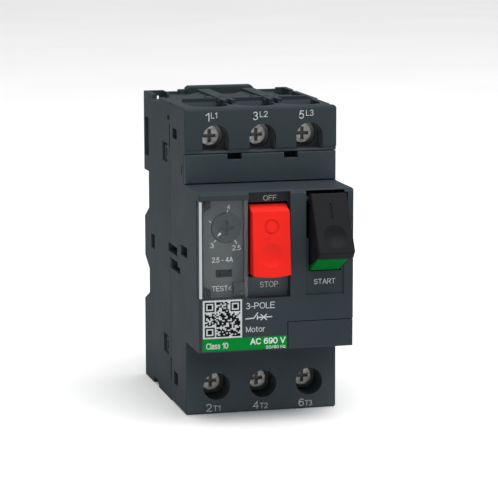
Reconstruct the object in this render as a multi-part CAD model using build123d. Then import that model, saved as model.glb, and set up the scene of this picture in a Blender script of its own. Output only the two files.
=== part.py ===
from build123d import *
import os

# Three-pole motor protection breaker for a 35 mm rail, in millimetres.
#
# The pieces are drawn in bench coordinates: X to the right as seen from the front, Y back from the
# face of the terminal blocks, Z up from the lower face. The last step moves every piece so that the
# origin is the middle of the rail seat: X in the middle of the width, Y on the plane that lies on
# the rail, Z at the rail's centre line.

# ---------------------------------------------------------------- driving dimensions
WIDTH = 45.0
HALF = WIDTH / 2
CASE_TOP = 89.2
WALL = 1.8

SEAM_Y = 19.7  # plane where the two halves of the case meet
RAISED_Y = -17.5  # front plane of the raised operating front
RAISED_LOW = 21.8
RAISED_HIGH = 67.4
CAVITY_Y = -13.2  # inside face of the operating front

SEAT_Y = 50.5  # plane that lies on the rail
BACK_Y = 57.1  # back of the feet above the rail
LOW_BACK_Y = 57.7  # back of the feet below the rail
RAIL_SLOT = (27.35, 65.0)
RAIL_Z = sum(RAIL_SLOT) / 2
SLOT_BULGE = (34.8, 38.1, 50.4, 53.8)

POLE_X = (-13.4, 0.5, 14.4)
POLE_HALF_FRONT = 5.6  # half width of a terminal compartment
POLE_HALF_REAR = 6.1  # half width of a contact chamber
ROOM_Y = 7.9  # front wall of a terminal compartment

LEDGE_Z = 77.3  # lower edge of the upper terminal apron
BAND_Y = 0.6  # recessed band below the apron
CARRIER_BACK_Y = 2.0  # floor of the label carrier's seat
CARRIER_TOP = 76.15  # upper edge of that seat
ARCH_Y = 6.0  # depth of the arched recess in front of a line screw
ARCH_R = 3.92
LINE_SCREW_Z = 80.4
LOAD_SCREW_Z = 8.1
SCREW_HEAD_Y = 8.2
SCREW_HEAD_R = 2.95
SCREW_HEAD_DEPTH = 2.4
SCREW_R = 1.95
SCREW_END_Y = 18.3
BAR_Y = (16.8, 18.0)  # terminal plates of the busbars
BAR_T = 1.2

STOP_X = (-7.4, 3.6)
STOP_PIVOT = (-12.3, 61.6)  # (Y, Z)
START_X = (9.7, 20.4)
START_WEDGE_X = (9.76, 18.25)
START_PIVOT = (-15.2, 64.6)  # (Y, Z)
START_TOP = (-17.9, 66.15)  # upper front edge of the rocker (Y, Z)
START_TIP = (-26.8, 50.3)  # lower front edge of the rocker (Y, Z)
START_LIP = (-25.4, 48.55)  # lower rear edge of its end face (Y, Z)
PIN_R = 1.0
RUNNING = 0.05  # radial clearance of a turning fit

PANEL_Y = -14.9  # floor of the setting panel
DIAL = (-14.1, 57.05)  # (X, Z)
DIAL_R = 4.25
COVER_AXIS = (-21.8, -15.8)  # hinge line of the clear cover (X, Y)
COVER_Z = (37.45, 64.85)

BRIDGE_GAP = 3.1  # open contact gap
CONTACT_Y = 41.8  # face of the fixed contacts
CONTACT_Z = (45.9, 59.5)
COIL_Z = 26.5


# ---------------------------------------------------------------- drawing helpers
def block(x, y, z):
    """Box from its low and high values on each axis."""
    spans = (x, y, z)
    size = [high - low for low, high in spans]
    middle = [(low + high) / 2 for low, high in spans]
    return Pos(*middle) * Box(*size)


def side_plate(outline, x):
    """Outline of (Y, Z) points carried across from x[0] to x[1]."""
    face = Plane.YZ.offset(x[0]) * make_face(Polyline(*outline, close=True))
    return extrude(face, x[1] - x[0], dir=(1, 0, 0))


def front_plate(outline, y):
    """Outline of (X, Z) points carried back from y[0] to y[1]."""
    plane = Plane(origin=(0, y[0], 0), x_dir=(1, 0, 0), z_dir=(0, -1, 0))
    return extrude(plane * make_face(Polyline(*outline, close=True)), y[1] - y[0], dir=(0, 1, 0))


def top_plate(outline, z):
    """Outline of (X, Y) points carried up from z[0] to z[1]."""
    face = Plane.XY.offset(z[0]) * make_face(Polyline(*outline, close=True))
    return extrude(face, z[1] - z[0], dir=(0, 0, 1))


def rod_x(y, z, radius, x):
    return Pos(sum(x) / 2, y, z) * Rot(0, 90, 0) * Cylinder(radius, x[1] - x[0])


def rod_y(x, z, radius, y):
    return Pos(x, sum(y) / 2, z) * Rot(90, 0, 0) * Cylinder(radius, y[1] - y[0])


def rod_z(x, y, radius, z):
    return Pos(x, y, sum(z) / 2) * Cylinder(radius, z[1] - z[0])


def edges_at(part, axis, **where):
    """Edges along an axis whose middle has the given X, Y or Z values."""
    found = []
    for edge in part.edges().filter_by(axis):
        middle = edge.center()
        if all(abs(getattr(middle, name) - value) < 0.02 for name, value in where.items()):
            found.append(edge)
    return found


def around(x, half):
    return (x - half, x + half)


def coil_spring(start, direction, radius, wire, turns, length):
    """Round-wire spring along a direction, from its first turn's centre."""
    path = Helix(length / turns, length, radius, center=start, direction=direction)
    section = Plane(origin=path @ 0, z_dir=path % 0) * Circle(wire)
    return sweep(section, path=path, is_frenet=True)


def wound_sleeve(x, z, inner, outer, y, turns):
    """Tight winding along Y, drawn as one sleeve with a round bead for each turn."""
    pitch = (y[1] - y[0]) / turns
    bead = pitch / 2
    sleeve = rod_y(x, z, outer - bead, y)
    for turn in range(turns):
        middle = y[0] + (turn + 0.5) * pitch
        ring = Pos(x, middle, z) * Rot(90, 0, 0) * Torus(outer - bead, bead)
        sleeve += ring
    return sleeve - rod_y(x, z, inner, (y[0] - 1, y[1] + 1))


# ---------------------------------------------------------------- case, front half
def wire_mouth(x, z):
    """Upper wire entry of one pole: round at the front, straight at the back."""
    middle_y = 8.8
    wide = around(x, POLE_HALF_FRONT)
    mouth = rod_z(x, middle_y, POLE_HALF_FRONT, z) + block(wide, (middle_y, 16.7), z)
    slope = [(16.6, 85.9), (18.9, 88.8), (SEAM_Y + 1, 88.8), (SEAM_Y + 1, z[1]), (16.6, z[1])]
    return mouth + side_plate(slope, wide)


def snap_arm(side, z):
    """Arm with a tab that locks the front half in a window of the rear half."""
    x = sorted((side * 20.1, side * 21.1))
    arm = block(x, (16.0, 28.5), z)
    tab = block(sorted((side * 21.0, side * 22.2)), (24.1, 27.3), (z[0] + 0.4, z[1] - 0.4))
    hollow = block(sorted((side * 21.2, side * 23)), (24.0, 26.4), (z[0] + 1.2, z[1] - 1.2))
    return arm + tab - hollow


CLIP_LOW = (13.1, 18.8)
CLIP_HIGH = (71.1, 76.7)


def round_off(x, z, radius, y):
    """What is cut away to round an upper right corner that runs along Y."""
    corner = block((x - radius, x + 1), y, (z - radius, z + 1))
    return corner - rod_y(x - radius, z - radius, radius, (y[0] - 1, y[1] + 1))


def front_shell():
    outline = [
        (0, 0),
        (SEAM_Y, 0),
        (SEAM_Y, CASE_TOP),
        (0, CASE_TOP),
        (0, LEDGE_Z),
        (BAND_Y, LEDGE_Z),
        (BAND_Y, RAISED_HIGH),
        (RAISED_Y, RAISED_HIGH),
        (RAISED_Y, RAISED_LOW),
        (0, RAISED_LOW),
    ]
    shell = side_plate(outline, (-HALF, HALF))
    shell = chamfer(edges_at(shell, Axis.X, Y=RAISED_Y, Z=RAISED_HIGH), 0.9)
    shell = chamfer(edges_at(shell, Axis.X, Y=RAISED_Y, Z=RAISED_LOW), 0.5)
    shell = fillet(edges_at(shell, Axis.Z, Y=RAISED_Y, X=-HALF), 0.85)
    shell = fillet(edges_at(shell, Axis.Z, Y=RAISED_Y, X=HALF), 0.3)
    shell = fillet(edges_at(shell, Axis.Z, Y=0, X=-HALF), 0.4)
    shell = fillet(edges_at(shell, Axis.Z, Y=0, X=HALF), 0.2)
    for z, radius in ((0, 0.6), (CASE_TOP, 1.0)):
        shell = fillet(edges_at(shell, Axis.X, Y=0, Z=z), radius)
    # The rounded corners carry this chamfer all the way round the rim.
    shell = chamfer(edges_at(shell, Axis.Z, X=-HALF, Y=SEAM_Y), 0.25)
    for z, y in ((CASE_TOP, (-1, SEAM_Y - 0.3)), (RAISED_HIGH, (RAISED_Y - 1, -0.1))):
        shell -= round_off(HALF, z, 0.5, y)
    return shell


def setting_recess():
    """Recess behind the clear cover, open to the left side, with a ledge under the cover's edge."""
    recess = block((-HALF - 1, -9.2), (RAISED_Y - 1, PANEL_Y), (37.2, 65.1))
    recess += block((-9.3, -8.1), (RAISED_Y - 1, -16.6), (37.2, 65.1))
    hinge_groove = block((-HALF - 1, -20.7), (PANEL_Y - 1, -14.4), (37.2, 65.1))
    return recess + hinge_groove


def setting_lugs():
    """Two corner lugs and the seal lug that stand on the setting panel."""
    y = (-16.5, PANEL_Y + 0.1)
    upper = front_plate([(-20.5, 65.2), (-18.9, 65.2), (-18.9, 62.8), (-20.5, 62.1)], y)
    lower = front_plate([(-20.5, 37.1), (-18.9, 37.1), (-18.9, 39.7), (-20.5, 40.4)], y)
    seal = block((-12.3, -9.3), y, (38.2, 41.6))
    seal -= rod_x(-15.8, 39.9, 0.45, (-13, -9))
    return upper + lower + seal


def stop_recess():
    pocket = block((-8.15, 4.0), (RAISED_Y - 1, -14.5), (36.9, 67.0))
    window = block((-7.7, 3.9), (-15, CAVITY_Y + 1), (42.6, 63.9))
    return pocket + window


def start_recess():
    depth = (RAISED_Y - 1, CAVITY_Y + 1)
    top = block((8.56, 19.9), depth, (66.0, 67.0))
    upper = block((8.56, 20.8), depth, (53.3, 66.2))
    right = block((18.0, 20.8), (RAISED_Y - 1, -16.2), (49.0, 54.0))
    lower = block((9.4, 19.0), depth, (43.9, 54.0))
    label = block((8.56, 19.8), (RAISED_Y - 1, RAISED_Y + 0.5), (37.1, 54.0))
    return top + upper + right + lower + label


def screw_access(x):
    arch = rod_y(x, LINE_SCREW_Z, ARCH_R, (-1, ARCH_Y))
    arch += block(around(x, ARCH_R), (-1, ARCH_Y), (LINE_SCREW_Z - 3.75, LINE_SCREW_Z))
    line_hole = rod_y(x, LINE_SCREW_Z, 3.7, (ARCH_Y - 1, ROOM_Y + 0.5))
    load_hole = rod_y(x, LOAD_SCREW_Z, 4.0, (-1, ROOM_Y + 0.5))
    return arch + line_hole + load_hole


def terminal_rooms(x):
    wide = around(x, POLE_HALF_FRONT)
    line_room = block(wide, (ROOM_Y, SEAM_Y + 1), (71.5, 87.0))
    load_room = block(wide, (ROOM_Y, SEAM_Y + 1), (4.0, 16.0))
    load_room += block(wide, (10.4, SEAM_Y + 1), (1.8, 16.0))
    bar_gap = block(wide, (15.9, SEAM_Y + 1), (15.0, 18.0))
    load_mouth = block(wide, (10.4, 18.2), (-1, 2.0))
    return line_room + load_room + bar_gap + wire_mouth(x, (84.8, CASE_TOP + 1)) + load_mouth


def front_windows():
    """Small windows in the left side for add-on contacts and release units."""
    x = (-HALF - 1, -18.4)
    slot_x = (-HALF - 1, -20.9)
    windows = block(slot_x, (10.4, 16.2), (79.1, 82.2)) + block(slot_x, (10.9, 16.2), (5.9, 10.0))
    windows += block((-HALF - 1, -20.6), (3.6, 4.7), (69.9, 72.7))
    windows += block(x, (-2.5, 5.8), (46.4, 49.5))
    windows += block(x, (10.7, SEAM_Y + 1), (44.9, 47.5))
    windows += block(x, (6.9, 19.0), (40.2, 43.4)) - block(x, (5.0, 10.2), (42.0, 44.0))
    return windows


def rib_prongs(left, right):
    """Front ends of a phase rib: two prongs with a groove for a comb busbar between them."""
    middle = (left + right) / 2
    prongs = block(around(middle, 1.9), (12.0, SEAM_Y), (CASE_TOP - 1, 90.2))
    prongs += block(around(middle, 2.6), (15.0, 17.2), (CASE_TOP - 1, 89.8))
    groove = block(around(middle, 0.7), (9.0, 15.6), (CASE_TOP - 4.0, 91))
    return prongs, groove


CARRIER_SLOTS = ((-10.0, -5.65), (6.8, 11.0))


def front_housing():
    housing = front_shell()
    room = block((-HALF + WALL, HALF - WALL), (CAVITY_Y, 5.0), (23.6, 65.6))
    room += block((-HALF + WALL, HALF - WALL), (2.0 + WALL, SEAM_Y + 1), (17.6, 69.6))
    room += block((-HALF + WALL, 2.0), (RAISED_Y + 2.0, CAVITY_Y + 0.5), (23.6, 35.2))
    housing -= room
    housing -= setting_recess() + stop_recess() + start_recess()
    housing += setting_lugs()
    housing -= rod_y(*DIAL, DIAL_R + RUNNING, (PANEL_Y - 1, CAVITY_Y + 1))
    housing -= block((-17.05, -12.4), (PANEL_Y - 1, CAVITY_Y + 1), (42.9, 45.1))
    for x in POLE_X:
        housing -= screw_access(x) + terminal_rooms(x)
    housing -= front_windows()
    housing -= block((-HALF - 1, HALF + 1), (BAND_Y - 1, CARRIER_BACK_Y), (RAISED_HIGH, CARRIER_TOP))
    housing -= block((21.2, HALF + 1), (1.5, 6.5), (88.5, CASE_TOP + 1))
    for slot in CARRIER_SLOTS:
        housing -= block(slot, (1.0, 6.0), (74.3, 76.0))
    for left, right in zip(POLE_X, POLE_X[1:]):
        prongs, groove = rib_prongs(left, right)
        housing += prongs
        housing -= groove
    for side in (-1, 1):
        for low, high in (CLIP_LOW, CLIP_HIGH):
            housing += snap_arm(side, (low + 0.3, high - 0.3))
    # Pocket of the blanking cover, sockets of the cover pins and of the button pins.
    housing -= block((3.1, HALF + 1), (RAISED_Y - 1, -14.7), (RAISED_LOW - 1, 29.9))
    housing -= rod_z(*COVER_AXIS, 0.5, (36.0, 66.3))
    housing -= rod_x(*START_PIVOT, PIN_R, (7.4, 21.6))
    housing -= rod_x(*STOP_PIVOT, PIN_R, (-8.6, 5.0))
    return housing


# ---------------------------------------------------------------- case, rear half
def rear_profile():
    low, low_tip, high_tip, high = SLOT_BULGE
    return [
        (SEAM_Y, 0),
        (38.0, 0),
        (38.0, 0.9),
        (42.3, 0.9),
        (42.3, 0),
        (LOW_BACK_Y, 0),
        (LOW_BACK_Y, 24.4),
        (SEAT_Y, RAIL_SLOT[0]),
        (SEAT_Y, low),
        (BACK_Y - 0.2, low_tip),
        (BACK_Y - 0.2, high_tip),
        (SEAT_Y, high),
        (SEAT_Y, RAIL_SLOT[1]),
        (BACK_Y, RAIL_SLOT[1]),
        (BACK_Y, CASE_TOP),
        (SEAM_Y, CASE_TOP),
    ]


DECK_Z = 88.0


def deck_details():
    """Ribs, lips and the bar that stand on the top deck of the rear half."""
    details = block((-9.7, 11.3), (53.0, BACK_Y), (DECK_Z - 0.5, 90.5))
    details = chamfer(edges_at(details, Axis.Y, Z=90.5), 0.8)
    details = fillet(edges_at(details, Axis.X, Z=90.5), 0.6)
    details += block((-11.9, -9.7), (54.0, BACK_Y), (DECK_Z - 0.5, 89.35))
    for x in POLE_X:
        details += block(around(x, 5.0), (SEAM_Y + 0.1, 21.2), (DECK_Z - 0.5, 90.1))
    for left, right in zip(POLE_X, POLE_X[1:]):
        middle = (left + right) / 2
        rib = block(around(middle, 1.9), (SEAM_Y, 46.0), (DECK_Z - 0.5, 90.3))
        rib += block(around(middle, 3.6), (25.0, 28.0), (DECK_Z - 0.5, 89.9))
        ramp_foot = middle - 8.0
        ramp = front_plate([(ramp_foot, DECK_Z), (middle, DECK_Z), (middle, 90.0)], (31.0, 44.0))
        details += rib + ramp
        details -= block(around(middle, 0.7), (21.5, 23.5), (89.0, 91))
    for side, inner in ((-1, 16.6), (1, 19.2)):
        x = sorted((side * inner, side * HALF))
        lug = block(x, (47.0, BACK_Y), (DECK_Z - 0.5, CASE_TOP + 0.1))
        details += fillet(edges_at(lug, Axis.X, Z=CASE_TOP + 0.1), 0.9)
    return details


def corner_pocket(side):
    """Blind pocket beside a rear corner, with a narrow slot through the back wall."""
    pocket = block(sorted((side * 17.2, side * 21.2)), (44.4, 54.8), (83.6, 91))
    slot = block(sorted((side * 17.8, side * 18.8)), (54, BACK_Y + 1), (84.2, 87.7))
    return pocket + slot


def contact_chambers():
    chambers = block((-19.5, 20.5), (SEAM_Y - 1, 30.0), (46.0, 60.0))
    for x in POLE_X:
        chambers += block(around(x, POLE_HALF_REAR), (SEAM_Y - 1, 48.3), (2.2, 81.8))
        chambers += block(around(x, POLE_HALF_REAR), (SEAM_Y - 1, 25.0), (2.2, 84.4))
    return chambers


def clip_windows(side):
    cuts = None
    for low, high in (CLIP_LOW, CLIP_HIGH):
        window = block(sorted((side * 21.0, side * (HALF + 1))), (23.4, 30.2), (low, high))
        channel = block(sorted((side * 19.0, side * 21.3)), (SEAM_Y - 1, 31.0), (low, high))
        cuts = window + channel if cuts is None else cuts + window + channel
    return cuts


LATCH_WIDE = 10.0
LATCH_NARROW = 8.0
LATCH_FLANGE_Y = (50.9, 53.0)
LATCH_BACK_Y = 56.2


def latch_channel():
    gap = 0.2
    channel = block(around(0, LATCH_WIDE + gap), (50.7, 53.2), (2.0, 30.0))
    channel += block(around(0, LATCH_NARROW + gap), (53.0, BACK_Y + 1), (2.0, 30.0))
    channel += block(around(0, 3.4), (53.0, BACK_Y + 1), (-1, 3.0))
    return channel


def rail_hook():
    """Fixed hook at the top of the rail slot; the rail's lip goes in behind its nose."""
    nose = [(52.0, 65.1), (52.0, 62.9), (52.6, 62.3), (54.8, 62.3), (BACK_Y, 64.2), (BACK_Y, 65.1)]
    return side_plate(nose, (-9.0, 9.0))


def rear_housing():
    housing = side_plate(rear_profile(), (-HALF, HALF))
    housing = fillet(edges_at(housing, Axis.X, Y=BACK_Y, Z=CASE_TOP), 1.5)
    housing = fillet(edges_at(housing, Axis.X, Y=LOW_BACK_Y, Z=0), 0.4)
    housing -= block((-20.9, 20.9), (21.2, 55.0), (DECK_Z, CASE_TOP + 1))
    housing -= block((-20.9, 20.9), (SEAM_Y - 1, 21.3), (88.9, CASE_TOP + 1))
    housing -= block((-16.7, 19.2), (54.9, BACK_Y + 1), (88.8, CASE_TOP + 1))
    housing += deck_details()
    housing -= corner_pocket(-1) + corner_pocket(1)
    housing -= block((-HALF - 1, -20.4), (34.8, 44.6), (87.8, CASE_TOP + 1))
    housing -= block((20.5, HALF + 1), (43.7, 47.0), (87.8, CASE_TOP + 2))
    housing -= contact_chambers()
    housing += rail_hook()
    housing -= latch_channel()
    for side in (-1, 1):
        housing -= clip_windows(side)
        outside = sorted((side * 20.9, side * (HALF + 1)))
        housing -= block(outside, (50.0, 56.2), (69.6, 81.5))
        housing -= block(outside, (38.6, 45.4), (-1, 1.9))
        housing -= block(outside, (20.4, 23.2), (83.9, 85.3))
        for low, high in ((76.1, 82.6), (6.1, 12.9)):
            housing -= block(outside, (SEAM_Y - 1, 20.9), (low, high))
    # Windows of the left side only: add-on contact lever and rail latch view.
    left = (-HALF - 1, -19.0)
    housing -= block(left, (SEAM_Y - 1, 22.9), (44.9, 47.5))
    housing -= block(left, (SEAM_Y - 1, 20.5), (40.2, 43.4))
    housing -= block(left, (42.2, 47.6), (42.0, 46.4))
    for x in (-HALF, HALF):
        housing = chamfer(edges_at(housing, Axis.Z, X=x, Y=SEAM_Y), 0.25)
    return housing


# ---------------------------------------------------------------- covers and label carrier
def label_carrier():
    carrier = block((-22.4, 22.35), (0.0, CARRIER_BACK_Y - 0.1), (67.6, CARRIER_TOP - 0.2))
    carrier = fillet(edges_at(carrier, Axis.X, Y=0.0) + edges_at(carrier, Axis.Z, Y=0.0), 0.3)
    for slot in CARRIER_SLOTS:
        carrier -= block(slot, (-1, 3), (74.25, 77))
    return carrier


def blanking_cover():
    cover = block((3.4, HALF - 0.05), (RAISED_Y, -14.9), (RAISED_LOW + 0.05, 29.65))
    cover = chamfer(edges_at(cover, Axis.X, Y=RAISED_Y, Z=RAISED_LOW + 0.05), 0.5)
    cover = fillet(edges_at(cover, Axis.Z, X=HALF - 0.05, Y=RAISED_Y), 0.3)
    cover -= block((4.6, HALF - 1.3), (-16.3, -14), (RAISED_LOW + 1.2, 28.45))
    return cover


def setting_cover():
    low, high = COVER_Z
    plate = block((-22.45, -8.45), (RAISED_Y, RAISED_Y + 0.8), (low, high))
    flange = block((-22.45, -21.6), (RAISED_Y, -15.2), (low, high))
    cover = plate + flange
    cover = fillet(edges_at(cover, Axis.Z, X=-22.45, Y=RAISED_Y), 0.5)
    grip = block((-9.6, -8.45), (RAISED_Y - 0.35, RAISED_Y + 0.1), (48.0, 54.0))
    pins = rod_z(*COVER_AXIS, 0.45, (low - 1.2, high + 1.2))
    room = block((-21.35, -20), (-17, -14), (low + 0.5, high - 0.5))
    return cover + grip + (pins - room)


# ---------------------------------------------------------------- setting dial and test slider
def setting_dial():
    x, z = DIAL
    dial = rod_y(x, z, DIAL_R, (-15.3, -12.4))
    dial = fillet(dial.edges().filter_by(lambda edge: abs(edge.center().Y + 15.3) < 0.01), 0.2)
    dial += rod_y(x, z, 2.6, (-12.5, -5.0))
    dial += rod_y(x + 1.2, z, 4.2, (-8.0, -5.5))
    slots = block(around(x, 0.55), (-17, -14.8), around(z, 2.05))
    slots += block(around(x, 2.05), (-17, -14.8), around(z, 0.55))
    dial -= slots
    return dial


def test_slider():
    slider = block((-15.85, -12.55), (-14.1, -12.6), (43.05, 44.95))
    slider = fillet(edges_at(slider, Axis.Z, Y=-14.1), 0.5)
    foot = block((-16.35, -12.05), (-12.95, -11.6), (42.4, 45.6))
    return slider + foot


# ---------------------------------------------------------------- STOP and START buttons
def face_frame(top, tip, x, along):
    """Plane on a button's front face; along runs from 0 at the top edge to 1 at the tip."""
    y = top[0] + (tip[0] - top[0]) * along
    z = top[1] + (tip[1] - top[1]) * along
    down = Vector(0, tip[0] - top[0], tip[1] - top[1]).normalized()
    out = Vector(1, 0, 0).cross(down) * -1
    if out.Y > 0:
        out = out * -1
    return Plane(origin=(x, y, z), x_dir=(1, 0, 0), z_dir=(out.X, out.Y, out.Z))


def finger_dish(frame, radius, depth):
    ball = (radius**2 + depth**2) / (2 * depth)
    return frame * Pos(0, 0, ball - depth) * Sphere(ball)


STOP_TOP = (-18.5, 61.6)
STOP_TIP = (-20.1, 43.0)


def stop_button():
    outline = [
        (-14.4, 63.2),
        STOP_TOP,
        STOP_TIP,
        (-9.2, STOP_TIP[1]),
        (-9.2, 58.5),
        (-10.2, 63.2),
    ]
    button = side_plate(outline, STOP_X)
    bow = 24.0
    button = button & rod_y(sum(STOP_X) / 2, STOP_TIP[1] + bow, bow, (-25, 0))
    front_edges = []
    for edge in button.edges():
        middle = edge.center()
        on_side = min(abs(middle.X - STOP_X[0]), abs(middle.X - STOP_X[1])) < 0.01
        if on_side and middle.Y < -14.5 and edge.length > 3 and middle.Z > 44:
            front_edges.append(edge)
        elif middle.Y < -19 and middle.Z < 44:
            front_edges.append(edge)
    button = fillet(front_edges, 0.45)
    hollow = [(-17.6, 58.0), (-18.3, 45.0), (-8, 45.0), (-8, 58.0)]
    button -= side_plate(hollow, (STOP_X[0] + 1.3, STOP_X[1] - 1.3))
    ring_frame = face_frame(STOP_TOP, STOP_TIP, -1.83, 0.23)
    ring = ring_frame * (Cylinder(2.15, 0.5) - Cylinder(1.6, 0.5))
    button -= ring
    button -= finger_dish(face_frame(STOP_TOP, STOP_TIP, -2.0, 0.66), 3.4, 0.8)
    button -= rod_x(*STOP_PIVOT, PIN_R + RUNNING, (-9, 6))
    return button


START_WEDGE = [
    (-25.3, 48.8),
    (-16.9, 45.4),
    (-13.6, 46.8),
    (-13.6, 61.5),
    (-16.6, 62.55),
    (-17.5, 62.55),
]
START_HOLLOW = [(-22.6, 50.6), (-17.0, 48.0), (-12, 48.0), (-12, 60.0), (-17.6, 60.0)]


def start_rocker():
    down = Vector(START_TIP[0] - START_TOP[0], START_TIP[1] - START_TOP[1]).normalized()
    inward = Vector(-down.Y, down.X)
    thickness = 2.0
    back_top = (START_TOP[0] + inward.X * thickness, START_TOP[1] + inward.Y * thickness)
    back_tip = (START_TIP[0] + inward.X * thickness, START_TIP[1] + inward.Y * thickness)
    plate = side_plate([START_TOP, START_TIP, START_LIP, back_tip, back_top], START_X)
    tip_y = (START_TIP[0] + START_LIP[0]) / 2
    tip_z = (START_TIP[1] + START_LIP[1]) / 2
    corners = []
    for edge in plate.edges():
        middle = edge.center()
        if abs(middle.Y - tip_y) < 0.02 and abs(middle.Z - tip_z) < 0.02:
            corners.append(edge)
    plate = fillet(corners, 0.9)
    plate = fillet(edges_at(plate, Axis.X, Y=START_TIP[0], Z=START_TIP[1]), 0.5)
    plate += side_plate(START_WEDGE, START_WEDGE_X) - side_plate(START_HOLLOW, (11.2, 16.8))
    lugs = None
    for x in ((START_X[0], 11.6), (18.0, 19.6)):
        lug = rod_x(*START_PIVOT, 1.9, x)
        web = side_plate([back_top, (-16.6, 62.9), (-14.0, 62.9), (-13.4, 64.6)], x)
        lugs = lug + web if lugs is None else lugs + lug + web
    rocker = plate + lugs
    bar = face_frame(START_TOP, START_TIP, 15.0, 0.30) * Box(0.6, 4.7, 0.6)
    rocker -= bar
    rocker -= finger_dish(face_frame(START_TOP, START_TIP, 15.1, 0.72), 3.4, 0.8)
    rocker -= rod_x(*START_PIVOT, PIN_R + RUNNING, (8, 22))
    rocker -= rod_x(*START_PIVOT, 2.1, (12.0, 17.6))
    return rocker


def start_flag():
    """Green underside of the START rocker; it shows while the rocker stands out."""
    outline = [
        (-25.25, 48.76),
        (-25.25, 48.3),
        (-17.5, 44.25),
        (-14.6, 44.2),
        (-13.6, 45.0),
        (-13.6, 46.7),
        (-16.9, 45.32),
    ]
    return side_plate(outline, START_WEDGE_X)


def button_pin(pivot, x):
    return rod_x(*pivot, PIN_R, x)


def torsion_spring(pivot, x, turns):
    return coil_spring((x[0], *pivot), (1, 0, 0), PIN_R + 0.55, 0.3, turns, x[1] - x[0])


# ---------------------------------------------------------------- terminals
def terminal_screw(x, z):
    head_end = SCREW_HEAD_Y + SCREW_HEAD_DEPTH
    head = rod_y(x, z, SCREW_HEAD_R, (SCREW_HEAD_Y, head_end))
    rim = head.edges().filter_by(lambda edge: abs(edge.center().Y - SCREW_HEAD_Y) < 0.01)
    head = fillet(rim, 0.35)
    screw = head + rod_y(x, z, SCREW_R, (head_end - 0.1, SCREW_END_Y))
    recess = block(around(x, 0.5), (SCREW_HEAD_Y - 1, SCREW_HEAD_Y + 1.2), around(z, 1.9))
    recess += block(around(x, 1.9), (SCREW_HEAD_Y - 1, SCREW_HEAD_Y + 1.2), around(z, 0.5))
    return screw - recess


def clamp_plate(x, z):
    low = SCREW_HEAD_Y + SCREW_HEAD_DEPTH + 0.1
    plate = block(around(x, 4.5), (low, low + 1.3), around(z, 4.5))
    plate = fillet(edges_at(plate, Axis.Y), 0.8)
    for step in (-3.0, 3.0):
        plate -= block(around(x, 5), (low + 1.0, low + 2), around(z + step, 0.4))
    return plate - rod_y(x, z, SCREW_R + 0.15, (low - 1, low + 2))


def line_contact(x):
    """Line busbar: screw plate, run to the back and fixed contact with its silver tip."""
    wide = around(x, 4.2)
    narrow = around(x, 2.4)
    bar = block(wide, BAR_Y, (74.2, 85.2))
    bar += block(narrow, (BAR_Y[0], 44.2), (74.2, 74.2 + BAR_T))
    bar += block(narrow, (43.0, 44.2), (57.0, 75.0))
    bar += rod_y(x, CONTACT_Z[1], 2.1, (CONTACT_Y, 43.1))
    return bar - rod_y(x, LINE_SCREW_Z, SCREW_R + RUNNING, (16, 19))


def load_contact(x):
    narrow = around(x, 2.4)
    bar = block(narrow, (43.0, 44.2), (34.0, 48.2))
    bar += block(narrow, (39.5, 44.2), (34.0, 34.0 + BAR_T))
    return bar + rod_y(x, CONTACT_Z[0], 2.1, (CONTACT_Y, 43.1))


def load_bar(x):
    """Load busbar: screw plate and the shelf that carries the bimetal strip."""
    bar = block(around(x, 4.2), BAR_Y, (3.4, 20.7))
    bar += block(around(x, 2.4), (5.0, BAR_Y[1]), (19.5, 20.7))
    return bar - rod_y(x, LOAD_SCREW_Z, SCREW_R + RUNNING, (16, 19))


# ---------------------------------------------------------------- contacts and carrier
BRIDGE_Y = (CONTACT_Y - BRIDGE_GAP - 2.4, CONTACT_Y - BRIDGE_GAP - 1.2)
CARRIER_Y = (22.5, 26.5)
CARRIER_Z = (50.5, 55.0)


def moving_contact(x):
    low, high = CONTACT_Z
    bridge = block(around(x, 2.4), BRIDGE_Y, (low - 1.7, high + 1.7))
    for z in CONTACT_Z:
        bridge += rod_y(x, z, 2.0, (BRIDGE_Y[1] - 0.1, BRIDGE_Y[1] + 1.2))
    return bridge


def contact_carrier():
    carrier = block((-19.2, 20.2), CARRIER_Y, CARRIER_Z)
    for x in POLE_X:
        carrier += block(around(x, 1.5), (CARRIER_Y[1] - 0.1, BRIDGE_Y[0]), (51.2, 54.2))
    return carrier


def contact_springs():
    middle = sum(CARRIER_Z) / 2
    return [wound_sleeve(x, middle, 2.25, 3.1, (CARRIER_Y[1], BRIDGE_Y[0]), 8) for x in POLE_X]


def arc_chute(x):
    """Splitter plates above and below the contacts, each stack between two fibre cheeks."""
    pieces = []
    for low, count in ((62.9, 6), (36.6, 4)):
        high = low + 1.6 * count
        for side in (-1, 1):
            cheek = sorted((x + side * 5.0, x + side * 5.8))
            pieces.append(block(cheek, (29.0, 42.0), (low - 0.4, high)))
        for plate in range(count):
            z = low + 1.6 * plate
            splitter = block(around(x, 5.0), (30.5, 42.0), (z, z + 0.8))
            throat = top_plate([(x - 1.8, 29), (x, 36.5), (x + 1.8, 29)], (z - 1, z + 2))
            pieces.append(splitter - throat)
    return pieces


# ---------------------------------------------------------------- releases
def coil_yoke(x):
    wide = around(x, 4.6)
    yoke = block(wide, (22.6, 38.0), (18.6, 20.0))
    for y in ((22.6, 24.0), (36.6, 38.0)):
        yoke += block(wide, y, (19.0, 32.6))
    return yoke - rod_y(x, COIL_Z, 2.75, (22, 39))


def trip_coil(x):
    coil = wound_sleeve(x, COIL_Z, 2.85, 5.2, (24.4, 36.2), 7)
    lead = block(around(x, 0.8), (34.2, 36.0), (COIL_Z + 3.5, 33.0))
    lead += block(around(x, 0.8), (34.2, 40.9), (32.65, 33.9))
    return coil + lead


def trip_plunger(x):
    return rod_y(x, COIL_Z, 2.7, (23.2, 33.5)) + rod_y(x, COIL_Z, 0.9, (20.6, 23.5))


BIMETAL_Z = (20.7, 46.5)


def bimetal(x):
    return block(around(x, 0.45), (5.5, 11.0), BIMETAL_Z)


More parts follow.
